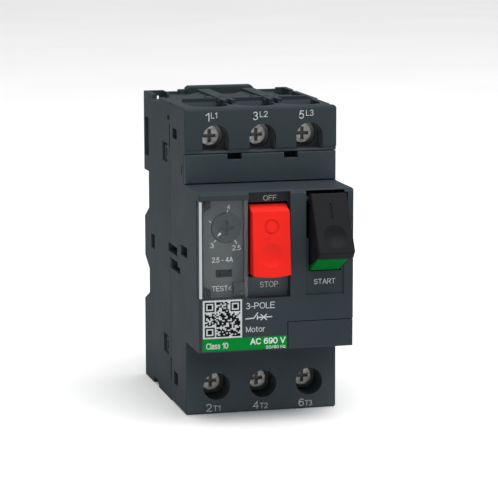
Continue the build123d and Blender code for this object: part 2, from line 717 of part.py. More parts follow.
def heater_winding(x):
    sleeve = block(around(x, 1.7), (4.6, 11.9), (25.0, 38.5))
    for turn in range(8):
        z = 26.2 + 1.5 * turn
        groove = block(around(x, 3), (3, 13), (z, z + 0.5))
        groove -= block(around(x, 1.3), (5.0, 11.5), (z - 1, z + 1))
        sleeve -= groove
    return sleeve - block(around(x, 0.55), (5.4, 11.1), (24, 40))


def trip_slider():
    slider = block((-18.6, 19.2), (5.0, 11.5), (47.5, 49.3))
    for x in POLE_X:
        slider += block((x + 1.4, x + 2.8), (6.0, 10.5), (43.5, 47.6))
    return slider


# ---------------------------------------------------------------- mechanism
LEVER_PIVOT = (17.0, 65.0)  # (Y, Z)
HOOK_PIVOT = (11.0, 57.6)  # (Y, Z)


def drive_lever():
    tail = [(15.4, 65.0), (18.6, 65.0), (18.8, 54.2), (21.9, 53.6), (21.9, 51.6), (16.4, 51.6)]
    arm = [(17.0, 66.9), (1.0, 63.6), (1.0, 61.6), (16.0, 63.2)]
    lever = side_plate(tail, (2.6, 5.4)) + side_plate(arm, (2.6, 5.4))
    lever += rod_x(*LEVER_PIVOT, 2.5, (2.6, 5.4))
    return lever - rod_x(*LEVER_PIVOT, PIN_R + RUNNING, (2, 6))


def latch_hook():
    body = [(10.0, 57.6), (12.2, 57.6), (12.4, 53.4), (14.6, 52.6), (14.6, 51.4), (10.4, 51.8)]
    hook = side_plate(body, (2.9, 5.1)) + rod_x(*HOOK_PIVOT, 1.9, (2.9, 5.1))
    return hook - rod_x(*HOOK_PIVOT, PIN_R + RUNNING, (2, 6))


def mechanism_frame():
    y = (6.0, 19.2)
    frame = block((1.2, 6.8), y, (68.3, 69.4))
    for x in ((1.2, 2.3), (5.7, 6.8)):
        frame += block(x, y, (54.0, 69.0))
    for pivot in (LEVER_PIVOT, HOOK_PIVOT):
        frame -= rod_x(*pivot, PIN_R, (0, 8))
    return frame


def mechanism_pins():
    return [rod_x(*pivot, PIN_R, (0.9, 7.1)) for pivot in (LEVER_PIVOT, HOOK_PIVOT)]


# ---------------------------------------------------------------- rail latch
LATCH_FOOT_Z = 9.0


def rail_latch():
    """Sprung slide whose nose goes behind the lower lip of the rail."""
    low_y, high_y = LATCH_FLANGE_Y
    latch = block(around(0, LATCH_WIDE), LATCH_FLANGE_Y, (LATCH_FOOT_Z, 25.0))
    latch += block(around(0, LATCH_NARROW), (high_y - 0.1, LATCH_BACK_Y), (LATCH_FOOT_Z, 24.6))
    nose = [(52.0, 24.0), (52.0, 30.6), (52.5, 31.0), (54.6, 27.6), (54.6, 24.0)]
    latch += side_plate(nose, around(0, LATCH_NARROW))
    tongue = block(around(0, 3.0), (53.4, 56.0), (1.4, LATCH_FOOT_Z + 0.1))
    tongue -= block(around(0, 1.6), (53, 57), (3.0, 5.6))
    return latch + tongue


def latch_springs():
    length = LATCH_FOOT_Z - 2.0 - 0.8
    return [coil_spring((x, 53.3, 2.4), (0, 0, 1), 1.6, 0.35, 6, length) for x in (-5.6, 5.6)]


# ---------------------------------------------------------------- the set of pieces
def all_pieces():
    pieces = {
        "front_housing": front_housing(),
        "rear_housing": rear_housing(),
        "label_carrier": label_carrier(),
        "blanking_cover": blanking_cover(),
        "setting_cover": setting_cover(),
        "setting_dial": setting_dial(),
        "test_slider": test_slider(),
        "stop_button": stop_button(),
        "start_rocker": start_rocker(),
        "start_flag": start_flag(),
        "stop_pin": button_pin(STOP_PIVOT, (-8.5, 4.9)),
        "start_pin": button_pin(START_PIVOT, (7.5, 21.5)),
        "start_spring": torsion_spring(START_PIVOT, (12.6, 17.0), 6),
        "contact_carrier": contact_carrier(),
        "contact_springs": contact_springs(),
        "trip_slider": trip_slider(),
        "coil_yokes": [coil_yoke(x) for x in POLE_X],
        "bimetal_strips": [bimetal(x) for x in POLE_X],
        "heater_windings": [heater_winding(x) for x in POLE_X],
        "drive_lever": drive_lever(),
        "latch_hook": latch_hook(),
        "mechanism_frame": mechanism_frame(),
        "mechanism_pins": mechanism_pins(),
        "rail_latch": rail_latch(),
        "latch_springs": latch_springs(),
    }
    for number, x in enumerate(POLE_X, start=1):
        pieces[f"line_screw_{number}"] = terminal_screw(x, LINE_SCREW_Z)
        pieces[f"load_screw_{number}"] = terminal_screw(x, LOAD_SCREW_Z)
        pieces[f"line_clamp_{number}"] = clamp_plate(x, LINE_SCREW_Z)
        pieces[f"load_clamp_{number}"] = clamp_plate(x, LOAD_SCREW_Z)
        pieces[f"line_contact_{number}"] = line_contact(x)
        pieces[f"load_contact_{number}"] = load_contact(x)
        pieces[f"load_bar_{number}"] = load_bar(x)
        pieces[f"moving_contact_{number}"] = moving_contact(x)
        pieces[f"arc_chute_{number}"] = arc_chute(x)
        pieces[f"trip_coil_{number}"] = trip_coil(x)
        pieces[f"trip_plunger_{number}"] = trip_plunger(x)
    return pieces


def export_all():
    os.makedirs("parts", exist_ok=True)
    to_rail = Pos(0, -SEAT_Y, -RAIL_Z)
    for name, piece in all_pieces().items():
        solids = piece if isinstance(piece, list) else [piece]
        moved = [to_rail * solid for solid in solids]
        shape = moved[0] if len(moved) == 1 else Compound(children=moved)
        export_step(shape, f"parts/{name}.step")


export_all()
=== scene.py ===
import math
import random

import bpy
from mathutils import Matrix, Vector


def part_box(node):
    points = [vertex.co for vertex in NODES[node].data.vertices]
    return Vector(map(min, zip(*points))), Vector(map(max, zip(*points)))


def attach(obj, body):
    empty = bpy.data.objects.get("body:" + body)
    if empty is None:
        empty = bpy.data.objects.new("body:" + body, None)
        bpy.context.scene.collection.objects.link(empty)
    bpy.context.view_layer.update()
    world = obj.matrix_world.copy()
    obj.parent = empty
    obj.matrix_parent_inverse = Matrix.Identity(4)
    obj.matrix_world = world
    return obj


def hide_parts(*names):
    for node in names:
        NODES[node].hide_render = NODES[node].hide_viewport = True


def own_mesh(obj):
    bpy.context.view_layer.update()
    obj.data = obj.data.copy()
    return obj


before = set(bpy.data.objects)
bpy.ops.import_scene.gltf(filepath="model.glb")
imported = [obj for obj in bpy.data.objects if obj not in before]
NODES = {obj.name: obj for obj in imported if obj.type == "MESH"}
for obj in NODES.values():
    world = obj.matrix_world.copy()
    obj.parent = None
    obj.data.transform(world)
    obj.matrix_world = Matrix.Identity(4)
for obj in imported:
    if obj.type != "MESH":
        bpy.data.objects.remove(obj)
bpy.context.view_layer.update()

MM = 0.001
POLES = (1, 2, 3)

# Bench coordinates, in millimetres: X from the middle, Y back from the terminal face and Z up from
# the lower face. The label carrier's front lies on the terminal face.
FACE_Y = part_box("label_carrier")[0].y
FLOOR_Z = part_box("front_housing")[0].z
RAISED_Y = (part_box("blanking_cover")[0].y - FACE_Y) / MM
DIAL_Y = (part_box("setting_dial")[0].y - FACE_Y) / MM
PANEL_Y = -14.9  # panel under the clear cover
RECESS_Y = -14.5  # floors above and below the STOP button
LEGEND_Y = RAISED_Y + 0.5  # field under the START button
CRISP = 0.02  # half the width of a sharp change of tone, in millimetres


def at(x, y, z):
    """Point in the row frame, in metres, of a bench point in millimetres."""
    return Vector((x * MM, FACE_Y + y * MM, FLOOR_Z + z * MM))


# ---------------------------------------------------------------- material helpers
class Graph:
    """A node tree that is filled in step by step."""

    def __init__(self, tree):
        self.tree = tree

    def feed(self, node, inputs):
        for key, value in inputs.items():
            if isinstance(value, bpy.types.NodeSocket):
                self.tree.links.new(value, node.inputs[key])
            else:
                node.inputs[key].default_value = value

    def node(self, kind, inputs, output=0, **settings):
        node = self.tree.nodes.new(kind)
        for key, value in settings.items():
            setattr(node, key, value)
        self.feed(node, inputs)
        return node.outputs[output]

    def span(self, value, source, target, **settings):
        """Value moved from the source range to the target range, held at both ends."""
        inputs = {
            "Value": value,
            "From Min": source[0],
            "From Max": source[1],
            "To Min": target[0],
            "To Max": target[1],
        }
        return self.node("ShaderNodeMapRange", inputs, **settings)

    def math(self, operation, first, second=0.0):
        return self.node("ShaderNodeMath", {0: first, 1: second}, operation=operation)


class Surface(Graph):
    """A material; its coordinates are the row frame's, in metres."""

    def __init__(self, name):
        self.material = bpy.data.materials.new(name)
        self.material.use_nodes = True
        super().__init__(self.material.node_tree)
        self.tree.nodes.clear()
        output = self.tree.nodes.new("ShaderNodeOutputMaterial")
        self.bsdf = self.tree.nodes.new("ShaderNodeBsdfPrincipled")
        self.tree.links.new(self.bsdf.outputs["BSDF"], output.inputs["Surface"])
        self.place = self.tree.nodes.new("ShaderNodeTexCoord").outputs["Object"]

    def noise(self, scale, detail=2.0, roughness=0.5, place=None):
        inputs = {
            "Vector": place or self.place,
            "Scale": scale,
            "Detail": detail,
            "Roughness": roughness,
        }
        return self.node("ShaderNodeTexNoise", inputs)

    def mix(self, factor, first, second):
        return self.node("ShaderNodeMix", {0: factor, 6: first, 7: second}, 2, data_type="RGBA")

    def axis(self, name):
        return self.node("ShaderNodeSeparateXYZ", {0: self.place}, name)

    def inside(self, low, high, fade=CRISP):
        """1 inside a box given in bench millimetres, 0 outside it; it fades upwards and downwards."""
        mask = 1.0
        for name, first, last in zip("XYZ", at(*low), at(*high)):
            value = self.axis(name)
            reach = (fade if name == "Z" else CRISP) * MM
            after = self.span(value, (first - reach, first + reach), (0.0, 1.0))
            before = self.span(value, (last + reach, last - reach), (0.0, 1.0))
            mask = self.math("MULTIPLY", mask, self.math("MULTIPLY", after, before))
        return mask

    def stretched(self, scale):
        return self.node("ShaderNodeMapping", {"Vector": self.place, "Scale": scale})

    def rounded(self, radius):
        """Normal with every edge rounded to the radius, in metres."""
        return self.node("ShaderNodeBevel", {"Radius": radius}, samples=6)

    def edges(self, rounded):
        """1 on the edges that the rounding touches, 0 on the flats."""
        flat = self.node("ShaderNodeNewGeometry", {}, "True Normal")
        inputs = {0: rounded, 1: flat}
        facing = self.node("ShaderNodeVectorMath", inputs, "Value", operation="DOT_PRODUCT")
        return self.span(facing, (0.999, 0.93), (0.0, 1.0))

    def gloss_level(self, level):
        self.bsdf.inputs["Specular IOR Level"].default_value = level

    def bump(self, height, distance, strength=1.0, normal=None):
        inputs = {"Height": height, "Distance": distance, "Strength": strength}
        if normal is not None:
            inputs["Normal"] = normal
        return self.node("ShaderNodeBump", inputs)

    def done(self, **inputs):
        self.feed(self.bsdf, {key.replace("_", " "): value for key, value in inputs.items()})
        return self.material


def shade(colour, factor):
    return (colour[0] * factor, colour[1] * factor, colour[2] * factor, 1.0)


def moulded(name, colour, rough, edge=1.9, gloss_level=0.03, zones=()):
    """Moulded plastic: fine spark-eroded grain, cloudy gloss, faint flow marks and edges lightened
    partly as wear and partly as painted highlight.

    A zone is a box in bench millimetres, the colour inside it and, if its edge isn't sharp, how far it
    fades."""
    surface = Surface(name)
    rounded = surface.rounded(0.3 * MM)
    clouds = surface.noise(70, 3, 0.6)
    streaks = surface.noise(1, 3, 0.6, surface.stretched((900, 900, 90)))
    specks = surface.noise(2600, 1)
    fine = surface.noise(6500, 2, 0.7)
    cloudy = surface.span(clouds, (0.3, 0.7), (0, 1))
    lighter_edges = surface.math("MULTIPLY", surface.edges(rounded), 0.55)
    body = surface.mix(cloudy, shade(colour, 0.93), shade(colour, 1.07))
    body = surface.mix(surface.span(streaks, (0.55, 0.8), (0, 0.35)), body, shade(colour, 1.18))
    body = surface.mix(surface.span(specks, (0.72, 0.8), (0, 0.5)), body, shade(colour, 1.5))
    # edges lightened by the edge factor: partly rubbed wear, partly painted highlight
    body = surface.mix(lighter_edges, body, shade(colour, edge))
    # several zones paint light or shade into the colour
    for low, high, tone, *fade in zones:
        body = surface.mix(surface.inside(low, high, *fade), body, shade(tone, 1.0))
    gloss = surface.math("ADD", surface.span(clouds, (0.3, 0.7), (rough - 0.05, rough + 0.06)),
                         surface.span(fine, (0.3, 0.7), (-0.03, 0.03)))
    waves = surface.bump(clouds, 0.03 * MM, 0.4, rounded)
    normal = surface.bump(fine, 0.006 * MM, 1.0, waves)
    surface.gloss_level(gloss_level)
    return surface.done(Base_Color=body, Roughness=gloss, Normal=normal)


def sheet_metal(name, colour, rough):
    """Plated or rolled metal: fine scratches, dull patches and slightly brighter edges."""
    surface = Surface(name)
    rounded = surface.rounded(0.12 * MM)
    patches = surface.noise(420, 4, 0.65)
    scratches = surface.noise(1, 2, 0.6, surface.stretched((9000, 1500, 1100)))
    dull = surface.span(patches, (0.35, 0.7), (0, 1))
    body = surface.mix(dull, shade(colour, 1.08), shade(colour, 0.65))
    body = surface.mix(surface.math("MULTIPLY", surface.edges(rounded), 0.6), body, shade(colour, 1.25))
    gloss = surface.math("ADD", surface.span(patches, (0.3, 0.7), (rough - 0.08, rough + 0.12)),
                         surface.span(scratches, (0.3, 0.7), (-0.06, 0.06)))
    normal = surface.bump(scratches, 0.01 * MM, 0.6, rounded)
    return surface.done(Base_Color=body, Metallic=1.0, Roughness=gloss, Normal=normal)


def ink(name, colour, rough=0.55):
    """Printed ink with slightly uneven cover."""
    surface = Surface(name)
    cover = surface.noise(1800, 3, 0.6)
    thin = surface.span(cover, (0.35, 0.7), (0, 1))
    body = surface.mix(thin, shade(colour, 1.0), shade(colour, 0.86))
    gloss = surface.span(cover, (0.3, 0.7), (rough - 0.08, rough + 0.08))
    surface.gloss_level(0.04)
    return surface.done(Base_Color=body, Roughness=gloss, Normal=surface.bump(cover, 0.004 * MM))


# ---------------------------------------------------------------- materials
GREY = (0.031, 0.0405, 0.0465)
PANEL_TONE = (0.085, 0.094, 0.097)
PANEL_SHADE = (0.062, 0.071, 0.076)
FLANGE_TONE = (0.074, 0.083, 0.087)
LUG_TONE = (0.019, 0.023, 0.026)
SEAL_TONE = (0.036, 0.042, 0.045)
POCKET_PAINTED_LIGHT = (0.067, 0.092, 0.104)
HOLE_PAINTED_LIGHT = (0.052, 0.062, 0.068)
ARCH_PAINTED_LIGHT = (0.080, 0.092, 0.098)
BAND_PAINTED_LIGHT = (0.054, 0.067, 0.077)
FACE_TONE = (0.0325, 0.042, 0.046)
FOOT_PAINTED_LIGHT = (0.054, 0.068, 0.0765)
CASE_ZONES = (
    # panel of the current setting, its corner by the seal lug and the flange beside it
    ((-21.4, -15.0, 37.25), (-9.25, -14.8, 65.05), PANEL_TONE),
    ((-12.3, -15.0, 41.9), (-9.25, -14.8, 51.8), PANEL_SHADE),
    ((-9.35, -16.7, 37.25), (-8.15, -16.5, 65.05), FLANGE_TONE),
    # hinge lugs of the clear cover and the seal lug
    ((-20.6, -16.6, 37.0), (-18.8, -15.1, 65.3), LUG_TONE),
    ((-12.4, -16.6, 38.1), (-9.25, -15.1, 41.7), SEAL_TONE),
    # floor of the pocket under the STOP button, lightened as painted light where the button shades it
    ((-8.1, -14.6, 36.9), (4.0, -14.4, 43.0), POCKET_PAINTED_LIGHT),
    # recesses of the upper screws and the band below them, both lightened as painted light in their
    # shade, and the upper terminal face
    ((-20.5, 0.9, 76.3), (21.0, 8.0, 84.2), ARCH_PAINTED_LIGHT),
    ((-22.6, 0.5, 75.9), (22.6, 0.75, 78.5), BAND_PAINTED_LIGHT),
    ((-22.6, -0.1, 76.0), (22.6, 0.1, 89.0), FACE_TONE),
    # foot of the lower terminal face, lightened towards the floor as painted light from the floor, and
    # the holes of the lower screws, lightened inside as painted light
    ((-22.6, -0.1, -20.0), (22.6, 0.1, 8.5), FOOT_PAINTED_LIGHT, 7.5),
    ((-20.5, 0.3, 3.0), (21.0, 8.0, 14.0), HOLE_PAINTED_LIGHT),
)
# painted shade inside the slots of the setting dial
DIAL_SLOT_SHADE = (((-17.0, DIAL_Y + 0.3, 54.0), (-11.0, DIAL_Y + 1.0, 60.0), SEAL_TONE),)
# painted light on the top bevel of the STOP button, which the recess wall above it shades
STOP_BEVEL_PAINTED_LIGHT = (((-8.0, -18.46, 61.7), (4.0, -12.0, 65.0), (0.95, 0.030, 0.020)),)
case_grey = moulded("case_grey", GREY, 0.55, zones=CASE_ZONES)
rear_grey = moulded("rear_grey", (0.035, 0.045, 0.050), 0.6)
carrier_grey = moulded("carrier_grey", (0.0405, 0.0525, 0.0595), 0.5)
dial_grey = moulded("dial_grey", (0.047, 0.056, 0.060), 0.5, zones=DIAL_SLOT_SHADE)
red = moulded("stop_red", (0.70, 0.017, 0.012), 0.4, edge=1.1, gloss_level=0.06, zones=STOP_BEVEL_PAINTED_LIGHT)
black = moulded("start_black", (0.0105, 0.0115, 0.0128), 0.4, edge=1.5, gloss_level=0.05)
green = moulded("flag_green", (0.001, 0.12, 0.018), 0.4, edge=1.2)
inner_black = moulded("inner_black", (0.012, 0.012, 0.013), 0.5)
latch_black = moulded("latch_black", (0.014, 0.015, 0.0165), 0.45)
dark_steel = sheet_metal("dark_steel", (0.05, 0.05, 0.052), 0.5)
steel = sheet_metal("spring_steel", (0.42, 0.42, 0.43), 0.34)
copper = sheet_metal("copper", (0.78, 0.40, 0.24), 0.34)
white_ink = ink("white_ink", (0.49, 0.525, 0.54))
strip_ink = ink("strip_ink", (0.60, 0.64, 0.63))
dial_ink = ink("dial_ink", (0.58, 0.61, 0.62))
black_ink = ink("black_ink", (0.006, 0.006, 0.007), 0.4)
green_ink = ink("green_ink", (0.0, 0.188, 0.024), 0.5)
label_white = ink("label_white", (0.49, 0.515, 0.52), 0.5)


ZINC_BRIGHT = (0.86, 0.86, 0.84, 1)
ZINC_DULL = (0.54, 0.54, 0.52, 1)
ZINC_SPOT = (0.2, 0.19, 0.175, 1)
ZINC_EDGE = (0.86, 0.85, 0.82, 1)
RECESS_DARK = (0.135, 0.133, 0.128, 1)


def screw_metal():
    """Zinc-plated screw: dull patches, dark spots, rubbed edges and a darker, duller tone further back
    than the head's face.
    """
    surface = Surface("screw_metal")
    rounded = surface.rounded(0.15 * MM)
    patches = surface.noise(900, 5, 0.7)
    fine = surface.noise(5200, 3, 0.7)
    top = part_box("line_screw_1")[0].y
    depth = surface.span(surface.axis("Y"), (top + 0.3 * MM, top + 1.2 * MM), (0.0, 0.9))
    lighter_edges = surface.math("MULTIPLY", surface.edges(rounded), 0.45)
    body = surface.mix(surface.span(patches, (0.35, 0.68), (0, 1)), ZINC_BRIGHT, ZINC_DULL)
    body = surface.mix(surface.span(fine, (0.58, 0.75), (0, 0.4)), body, ZINC_SPOT)
    body = surface.mix(lighter_edges, body, ZINC_EDGE)
    # darker and less metallic further back than the head's face
    body = surface.mix(depth, body, RECESS_DARK)
    gloss = surface.span(patches, (0.3, 0.7), (0.42, 0.62))
    metal = surface.span(depth, (0.0, 0.9), (0.6, 0.0))
    normal = surface.bump(fine, 0.012 * MM, 0.7, surface.bump(patches, 0.05 * MM, 0.5, rounded))
    return surface.done(Base_Color=body, Metallic=metal, Roughness=gloss, Normal=normal)


FLANGE = (-22.41, -21.65)  # outer and inner side of the clear cover's flange, in X
FLANGE_BLUR = 0.03


def clear_plastic():
    """Clear cover: a faint grey film whose left flange carries a painted highlight, with painted shade
    beside it and at its ends.
    """
    surface = Surface("clear_cover")
    across = surface.math("DIVIDE", surface.axis("X"), MM)
    inner = surface.span(across, (FLANGE[1] + FLANGE_BLUR, FLANGE[1] - FLANGE_BLUR), (0.0, 1.0))
    outer = surface.span(across, (FLANGE[0] - FLANGE_BLUR, FLANGE[0] + FLANGE_BLUR), (0.0, 1.0))
    low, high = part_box("setting_cover")
    foot = surface.span(surface.axis("Z"), (low.z + 0.4 * MM, low.z + 0.5 * MM), (0.0, 1.0))
    head = surface.span(surface.axis("Z"), (high.z - 0.3 * MM, high.z - 0.2 * MM), (1.0, 0.0))
    ends = surface.math("MULTIPLY", foot, head)
    flange = surface.math("MULTIPLY", surface.math("MULTIPLY", inner, outer), ends)
    clouds = surface.noise(160, 3, 0.6)
    film = surface.span(clouds, (0.3, 0.7), (0.03, 0.045))
    alpha = surface.math("MAXIMUM", film, surface.math("MULTIPLY", inner, 0.92))
    # painted highlight on the left flange
    body = surface.mix(flange, (0.33, 0.36, 0.365, 1), (0.47, 0.495, 0.505, 1))
    # painted shade beside the flange and at its ends
    body = surface.mix(surface.math("SUBTRACT", inner, flange), body, (0.05, 0.06, 0.065, 1))
    gloss = surface.span(clouds, (0.3, 0.7), (0.12, 0.2))
    shine = surface.math("MULTIPLY", outer, 0.2)
    return surface.done(Base_Color=body, Alpha=alpha, Roughness=gloss, Specular_IOR_Level=shine)


screw_steel = screw_metal()
clear = clear_plastic()


def paint(material, *names):
    for name in names:
        mesh = NODES[name].data
        if mesh.materials:
            for slot in NODES[name].material_slots:
                slot.material = material
        else:
            mesh.materials.append(material)


def numbered(*stems):
    return [f"{stem}_{number}" for stem in stems for number in POLES]


def add_object(name, data):
    made = bpy.data.objects.new(name, data)
    bpy.context.scene.collection.objects.link(made)
    return made


paint(case_grey, "front_housing", "blanking_cover")
paint(rear_grey, "rear_housing")
paint(carrier_grey, "label_carrier")
paint(dial_grey, "setting_dial")
paint(inner_black, "test_slider", "contact_carrier", "trip_slider")
paint(red, "stop_button")
paint(black, "start_rocker")
paint(green, "start_flag")
paint(latch_black, "rail_latch")
paint(clear, "setting_cover")
paint(screw_steel, *numbered("line_screw", "load_screw", "line_clamp", "load_clamp"))
paint(dark_steel, "stop_pin", "start_pin", "start_spring")
paint(steel, "contact_springs", "drive_lever", "latch_hook")
paint(steel, "mechanism_frame", "mechanism_pins", "latch_springs", "coil_yokes", "bimetal_strips")
paint(steel, *numbered("arc_chute", "trip_plunger"))
paint(copper, "heater_windings", *numbered("line_contact", "load_contact", "load_bar"))
paint(copper, *numbered("moving_contact", "trip_coil"))


def rail_springs():
    """Springs under the rail latch, copied into a mesh of their own and fixed to the case; the imported
    ones are hidden.
    """
    piece = add_object("rail_springs", NODES["latch_springs"].data.copy())
    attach(piece, "case")
    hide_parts("latch_springs")
    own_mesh(piece)


rail_springs()


# ---------------------------------------------------------------- printed marks
INK = 0.03  # height of printed ink above its surface
SUNK = 0.01  # depth of its back below the surface
LAYER = 0.002  # each stroke of a letter lies this much above the last one
LETTER_GAP = 0.2  # gap between letters, in heights of a capital
THIN_LINE = 0.2
SYMBOL_LINE = 0.3


def arc(x, z, across, up, start, end):
    """Points along part of an ellipse, from one angle in degrees to another."""
    count = max(4, round(abs(end - start) / 14))
    turns = [math.radians(start + (end - start) * step / count) for step in range(count + 1)]
    return [(x + across * math.cos(turn), z + up * math.sin(turn)) for turn in turns]


# Each letter is its width and its strokes, in units of the height of a capital.
LETTERS = {
    " ": (0.2, []),
    ".": (0.02, [[(0, 0), (0, 0.02)]]),
    "-": (0.3, [[(0, 0.38), (0.3, 0.38)]]),
    "/": (0.32, [[(0, 0), (0.32, 1)]]),
    "<": (0.45, [[(0.45, 0.85), (0, 0.47), (0.45, 0.09)]]),
    "0": (0.58, [arc(0.29, 0.5, 0.29, 0.5, 90, 450)]),
    "1": (0.28, [[(0, 0.76), (0.27, 1), (0.27, 0)]]),
    "2": (0.57, [arc(0.28, 0.72, 0.27, 0.28, 165, -35) + [(0, 0), (0.57, 0)]]),
    "3": (0.55, [arc(0.26, 0.76, 0.23, 0.24, 155, -90), arc(0.26, 0.26, 0.28, 0.26, 90, -155)]),
    "4": (0.58, [[(0.43, 0), (0.43, 1), (0, 0.3), (0.58, 0.3)]]),
    "5": (0.55, [[(0.5, 1), (0.13, 1), (0.06, 0.5)], arc(0.26, 0.33, 0.28, 0.33, 140, -152)]),
    "6": (0.56, [arc(0.29, 0.32, 0.27, 0.32, 90, 450),
                 arc(0.33, 0.5, 0.32, 0.5, 48, 180) + [(0.01, 0.34)]]),
    "9": (0.56, [arc(0.28, 0.68, 0.27, 0.32, 90, 450),
                 [(0.55, 0.66)] + arc(0.23, 0.5, 0.32, 0.5, 0, -132)]),
    "A": (0.72, [[(0, 0), (0.36, 1), (0.72, 0)], [(0.13, 0.32), (0.59, 0.32)]]),
    "C": (0.68, [arc(0.37, 0.5, 0.37, 0.5, 42, 318)]),
    "E": (0.58, [[(0.58, 1), (0, 1), (0, 0), (0.58, 0)], [(0, 0.52), (0.52, 0.52)]]),
    "F": (0.54, [[(0.54, 1), (0, 1), (0, 0)], [(0, 0.52), (0.47, 0.52)]]),
    "H": (0.62, [[(0, 0), (0, 1)], [(0.62, 0), (0.62, 1)], [(0, 0.52), (0.62, 0.52)]]),
    "L": (0.48, [[(0, 1), (0, 0), (0.48, 0)]]),
    "M": (0.74, [[(0, 0), (0, 1), (0.37, 0.04), (0.74, 1), (0.74, 0)]]),
    "O": (0.76, [arc(0.38, 0.5, 0.38, 0.5, 90, 450)]),
    "P": (0.6, [[(0, 0), (0, 1)], [(0, 1)] + arc(0.33, 0.73, 0.27, 0.27, 90, -90) + [(0, 0.46)]]),
    "R": (0.66, [[(0, 0), (0, 1)], [(0, 1)] + arc(0.35, 0.74, 0.27, 0.26, 90, -90) + [(0, 0.48)],
                 [(0.36, 0.46), (0.64, 0)]]),
    "S": (0.62, [arc(0.31, 0.745, 0.27, 0.255, 20, 235) + arc(0.31, 0.255, 0.3, 0.255, 55, -158)]),
    "T": (0.64, [[(0, 1), (0.64, 1)], [(0.32, 1), (0.32, 0)]]),
    "V": (0.68, [[(0, 1), (0.34, 0), (0.68, 1)]]),
    "a": (0.46, [arc(0.24, 0.5, 0.2, 0.22, 155, 0) + [(0.44, 0)],
                 [(0.44, 0.42)] + arc(0.22, 0.21, 0.22, 0.21, 90, 270) + [(0.44, 0.1)]]),
    "l": (0.02, [[(0.01, 0), (0.01, 1)]]),
    "o": (0.54, [arc(0.27, 0.36, 0.27, 0.36, 90, 450)]),
    "r": (0.26, [[(0, 0), (0, 0.72)], [(0, 0.42), (0.08, 0.64), (0.26, 0.72)]]),
    "s": (0.4, [arc(0.2, 0.54, 0.17, 0.18, 20, 235) + arc(0.2, 0.18, 0.19, 0.18, 55, -158)]),
    "t": (0.26, [[(0.1, 0.94), (0.1, 0.06), (0.26, 0)], [(0, 0.72), (0.26, 0.72)]]),
    "z": (0.42, [[(0, 0.72), (0.42, 0.72), (0, 0), (0.42, 0)]]),
}


class Print:
    """Flat marks in one ink on faces that look to the front, collected into one mesh."""

    def __init__(self, name, material, body, slot):
        self.name = name
        self.material = material
        self.body = body
        self.slot = slot
        self.points = []
        self.faces = []
        self.layer = 0

    def add(self, outline, faces, y):
        """A flat shape, given as (X, Z) points and faces, as a thin slab on the plane at y."""
        start = len(self.points)
        count = len(outline)
        for level in (y - INK, y + SUNK):
            self.points += [at(x, level, z) for x, z in outline]
        borders = {}
        for face in faces:
            self.faces.append([start + index for index in face])
            self.faces.append([start + count + index for index in reversed(face)])
            for first, second in zip(face, face[1:] + face[:1]):
                borders[(first, second)] = (second, first) in borders
                if (second, first) in borders:
                    borders[(second, first)] = True
        for (first, second), shared in borders.items():
            if not shared:
                front_edge = [start + second, start + first]
                self.faces.append(front_edge + [start + count + first, start + count + second])

    def bar(self, x, z, y):
        self.add([(x[0], z[0]), (x[1], z[0]), (x[1], z[1]), (x[0], z[1])], [[0, 1, 2, 3]], y)

    def ribbon(self, points, width, y):
        """Band of even width along a line; its ends are square, unless the line is closed."""
        closed = (points[0] - points[-1]).length < 1e-6
        steps = [(after - before).normalized() for before, after in zip(points, points[1:])]
        if closed:
            points = points[:-1]
            befores, afters = steps[-1:] + steps[:-1], steps
        else:
            befores, afters = steps[:1] + steps, steps + steps[-1:]
            first, last = points[0] - steps[0] * width / 2, points[-1] + steps[-1] * width / 2
            points = [first] + points[1:-1] + [last]
        left, right = [], []
        for point, before, after in zip(points, befores, afters):
            side = Vector((-after.y, after.x))
            normal = (Vector((-before.y, before.x)) + side).normalized()
            reach = normal * width / 2 / max(normal.dot(side), 0.5)
            left.append(tuple(point + reach))
            right.append(tuple(point - reach))
        count = len(points)
        faces = []
        for index in range(count if closed else count - 1):
            following = (index + 1) % count
            faces.append([count + index, count + following, following, index])
        self.add(left + right, faces, y - self.layer * LAYER)
        self.layer += 1

    def line(self, points, width, y):
        """Band along a line, cut at its sharp corners so that they stay square."""
        points = [Vector(point) for point in points]
        start = 0
        for index in range(1, len(points) - 1):
            before = (points[index] - points[index - 1]).normalized()
            after = (points[index + 1] - points[index]).normalized()
            if before.dot(after) < -0.2:
                self.ribbon(points[start:index + 1], width, y)
                start = index
        self.ribbon(points[start:], width, y)

    def word(self, text, x, z, y, weight=0.108):
        """Lettering that fills its box; the weight is the stroke's share of the height."""
        width = weight * (z[1] - z[0])
        total = sum(LETTERS[letter][0] + LETTER_GAP for letter in text) - LETTER_GAP
        scale_x, scale_z = (x[1] - x[0] - width) / total, z[1] - z[0] - width
        offset = 0.0
        for letter in text:
            advance, strokes = LETTERS[letter]
            self.layer = 0
            for stroke in strokes:
                points = [
                    (x[0] + width / 2 + (offset + across) * scale_x, z[0] + width / 2 + up * scale_z)
                    for across, up in stroke
                ]
                self.line(points, width, y)
            offset += advance + LETTER_GAP

    def finish(self):
        mesh = bpy.data.meshes.new(self.name)
        mesh.from_pydata(self.points, [], self.faces)
        mesh.materials.append(self.material)
        piece = add_object(self.name, mesh)
        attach(piece, self.body)


